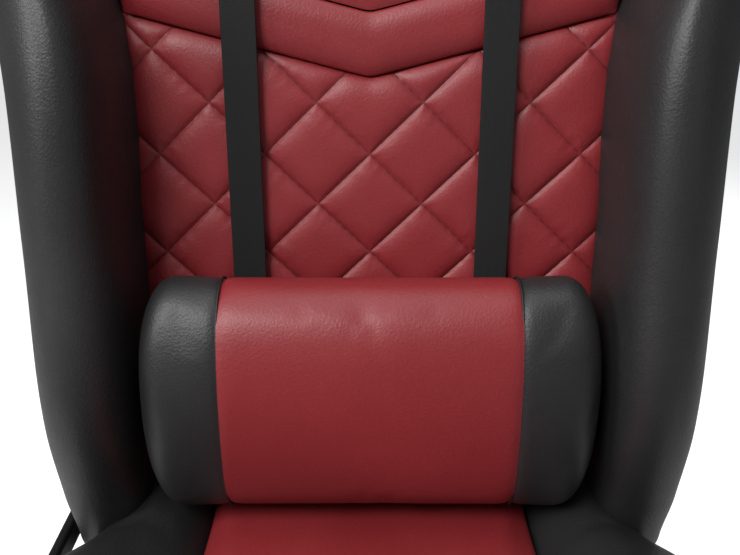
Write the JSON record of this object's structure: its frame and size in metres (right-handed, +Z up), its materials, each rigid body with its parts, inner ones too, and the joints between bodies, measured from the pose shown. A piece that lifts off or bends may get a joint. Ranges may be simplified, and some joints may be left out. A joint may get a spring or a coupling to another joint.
{
  "type": "gaming chair",
  "caption": "Racing-style gaming chair with a quilted bucket backrest, lumbar roll pillow on straps, adjustable armrests, reclining back, tilting seat, gas lift and a wheeled star base",
  "frame": {"origin": "On the floor under the axis of the gas column, the middle of the star base", "axes": "+Z up, the chair faces -Y, +X is to the right of a viewer who faces the chair's front"},
  "size_m": [0.727, 0.752, 1.2941],
  "materials": {
    "red_leather": "soft satin, fine grain",
    "black_leather": "soft satin, fine grain",
    "webbing": "woven",
    "black_steel": "satin powder coat",
    "bright_steel": "ground",
    "chrome": "polished",
    "black_plastic": "fine texture",
    "wheel_plastic": "smooth",
    "arm_foam": "soft matte",
    "bronze": "sintered"
  },
  "bodies": {
    "base": {"base_star": "black_plastic", "stand_tube": "black_steel", "guide_bush": "bronze", "thrust_bearing": "bright_steel", "lower_shroud": "black_plastic"},
    "middle_shroud": {"middle_shroud": "black_plastic"},
    "swivel_rod": {"piston_rod": "chrome", "rod_clip": "bright_steel"},
    "column": {"gas_cylinder": "chrome", "upper_shroud": "black_plastic", "tilt_housing": "black_steel", "tilt_shaft": "black_steel", "tension_bolt": "bright_steel", "tension_spring": "bright_steel"},
    "valve_pin": {"valve_pin": "bright_steel"},
    "height_lever": {"height_lever": "black_plastic"},
    "tilt_lock_lever": {"tilt_lock_lever": "black_plastic"},
    "tension_knob": {"tension_knob": "black_plastic"},
    "seat": {"seat_plate": "black_steel", "plate_bolts": "bright_steel", "seat_frame": "black_steel", "seat_webbing": "webbing", "seat_center_pad": "red_leather", "seat_bolster_left": "black_leather", "seat_bolster_right": "black_leather", "recliner_left": "black_steel", "recliner_right": "black_steel", "recliner_link_rod": "black_steel", "hinge_cover_left": "black_plastic", "hinge_cover_right": "black_plastic", "arm_bracket_left": "black_steel", "arm_bracket_right": "black_steel"},
    "recline_lever": {"recline_lever": "black_plastic"},
    "backrest": {"back_frame": "black_steel", "back_center_pad": "red_leather", "back_bolster_left": "black_leather", "back_bolster_right": "black_leather", "back_head_pad": "red_leather", "back_shell": "black_leather", "slot_bezels": "black_plastic", "lumbar_straps": "webbing", "strap_buckles": "black_plastic"},
    "lumbar_pillow": {"lumbar_pillow": "red_leather"},
    "arm_left": {"arm_post_left": "black_plastic"},
    "arm_button_left": {"arm_button_left": "black_plastic"},
    "arm_pad_left": {"arm_pad_left": "arm_foam"},
    "arm_right": {"arm_post_right": "black_plastic"},
    "arm_button_right": {"arm_button_right": "black_plastic"},
    "arm_pad_right": {"arm_pad_right": "arm_foam"},
    "caster_1": {"caster_fork_1": "black_plastic"},
    "wheels_1": {"caster_wheels_1": "wheel_plastic"},
    "caster_2": {"caster_fork_2": "black_plastic"},
    "wheels_2": {"caster_wheels_2": "wheel_plastic"},
    "caster_3": {"caster_fork_3": "black_plastic"},
    "wheels_3": {"caster_wheels_3": "wheel_plastic"},
    "caster_4": {"caster_fork_4": "black_plastic"},
    "wheels_4": {"caster_wheels_4": "wheel_plastic"},
    "caster_5": {"caster_fork_5": "black_plastic"},
    "wheels_5": {"caster_wheels_5": "wheel_plastic"}
  },
  "joints": [
    {"name": "seat_swivel", "type": "hinge", "parent": "base", "child": "swivel_rod", "pos_m": [0, 0, 0.07], "axis": [0, 0, 1], "continuous": true},
    {"name": "gas_lift", "type": "slide", "parent": "swivel_rod", "child": "column", "axis": [0, 0, 1], "range_m": [0, 0.08]},
    {"name": "shroud_slide", "type": "slide", "parent": "base", "child": "middle_shroud", "axis": [0, 0, 1], "range_m": [0, 0.04]},
    {"name": "valve_press", "type": "slide", "parent": "column", "child": "valve_pin", "axis": [0, 0, -1], "range_m": [0, 0.004]},
    {"name": "height_lever_lift", "type": "hinge", "parent": "column", "child": "height_lever", "pos_m": [-0.045, 0, 0.332], "axis": [0, 1, 0], "range_deg": [0, 5], "stiffness_Nm_per_rad": 2, "springref_deg": -20.05},
    {"name": "tilt_lock", "type": "hinge", "parent": "column", "child": "tilt_lock_lever", "pos_m": [0.12, 0.06, 0.316], "axis": [1, 0, 0], "range_deg": [0, 20]},
    {"name": "knob_turn", "type": "hinge", "parent": "column", "child": "tension_knob", "pos_m": [0, -0.1, 0.24], "axis": [0, 0, 1], "continuous": true},
    {"name": "seat_tilt", "type": "hinge", "parent": "column", "child": "seat", "pos_m": [0, -0.045, 0.34], "axis": [-1, 0, 0], "range_deg": [0, 12], "stiffness_Nm_per_rad": 260, "springref_deg": -25.78},
    {"name": "recline_lever_lift", "type": "hinge", "parent": "seat", "child": "recline_lever", "pos_m": [-0.263, 0.24667, 0.43631], "axis": [-1, 0, 0], "range_deg": [0, 25], "stiffness_Nm_per_rad": 1.5, "springref_deg": -22.92},
    {"name": "back_recline", "type": "hinge", "parent": "seat", "child": "backrest", "pos_m": [0, 0.24667, 0.43631], "axis": [-1, 0, 0], "range_deg": [0, 75]},
    {"name": "lumbar_slide", "type": "slide", "parent": "backrest", "child": "lumbar_pillow", "axis": [0, 0.1045, 0.9945], "range_m": [0, 0.08]},
    {"name": "arm_height_left", "type": "slide", "parent": "seat", "child": "arm_left", "axis": [0, 0, 1], "range_m": [0, 0.07]},
    {"name": "arm_button_press_left", "type": "slide", "parent": "arm_left", "child": "arm_button_left", "axis": [1, 0, 0], "range_m": [0, 0.003], "stiffness_N_per_m": 600, "springref_m": -0.002},
    {"name": "arm_pad_slide_left", "type": "slide", "parent": "arm_left", "child": "arm_pad_left", "axis": [0, -1, 0], "range_m": [-0.03, 0.03]},
    {"name": "arm_height_right", "type": "slide", "parent": "seat", "child": "arm_right", "axis": [0, 0, 1], "range_m": [0, 0.07]},
    {"name": "arm_button_press_right", "type": "slide", "parent": "arm_right", "child": "arm_button_right", "axis": [-1, 0, 0], "range_m": [0, 0.003], "stiffness_N_per_m": 600, "springref_m": -0.002},
    {"name": "arm_pad_slide_right", "type": "slide", "parent": "arm_right", "child": "arm_pad_right", "axis": [0, -1, 0], "range_m": [-0.03, 0.03]},
    {"name": "caster_swivel_1", "type": "hinge", "parent": "base", "child": "caster_1", "pos_m": [0, -0.32, 0.08], "axis": [0, 0, 1], "continuous": true},
    {"name": "caster_roll_1", "type": "hinge", "parent": "caster_1", "child": "wheels_1", "pos_m": [0, -0.342, 0.03], "axis": [1, 0, 0], "continuous": true},
    {"name": "caster_swivel_2", "type": "hinge", "parent": "base", "child": "caster_2", "pos_m": [0.30434, -0.09889, 0.08], "axis": [0, 0, 1], "continuous": true},
    {"name": "caster_roll_2", "type": "hinge", "parent": "caster_2", "child": "wheels_2", "pos_m": [0.32526, -0.10568, 0.03], "axis": [0.309, 0.9511, 0], "continuous": true},
    {"name": "caster_swivel_3", "type": "hinge", "parent": "base", "child": "caster_3", "pos_m": [0.18809, 0.25889, 0.08], "axis": [0, 0, 1], "continuous": true},
    {"name": "caster_roll_3", "type": "hinge", "parent": "caster_3", "child": "wheels_3", "pos_m": [0.20102, 0.27668, 0.03], "axis": [-0.809, 0.5878, 0], "continuous": true},
    {"name": "caster_swivel_4", "type": "hinge", "parent": "base", "child": "caster_4", "pos_m": [-0.18809, 0.25889, 0.08], "axis": [0, 0, 1], "continuous": true},
    {"name": "caster_roll_4", "type": "hinge", "parent": "caster_4", "child": "wheels_4", "pos_m": [-0.20102, 0.27668, 0.03], "axis": [-0.809, -0.5878, 0], "continuous": true},
    {"name": "caster_swivel_5", "type": "hinge", "parent": "base", "child": "caster_5", "pos_m": [-0.30434, -0.09889, 0.08], "axis": [0, 0, 1], "continuous": true},
    {"name": "caster_roll_5", "type": "hinge", "parent": "caster_5", "child": "wheels_5", "pos_m": [-0.32526, -0.10568, 0.03], "axis": [0.309, -0.9511, 0], "continuous": true}
  ],
  "couplings": [
    {"joint": "shroud_slide", "follows": "gas_lift", "ratio": 0.5},
    {"joint": "valve_press", "follows": "height_lever_lift", "m_per_rad": 0.045}
  ]
}
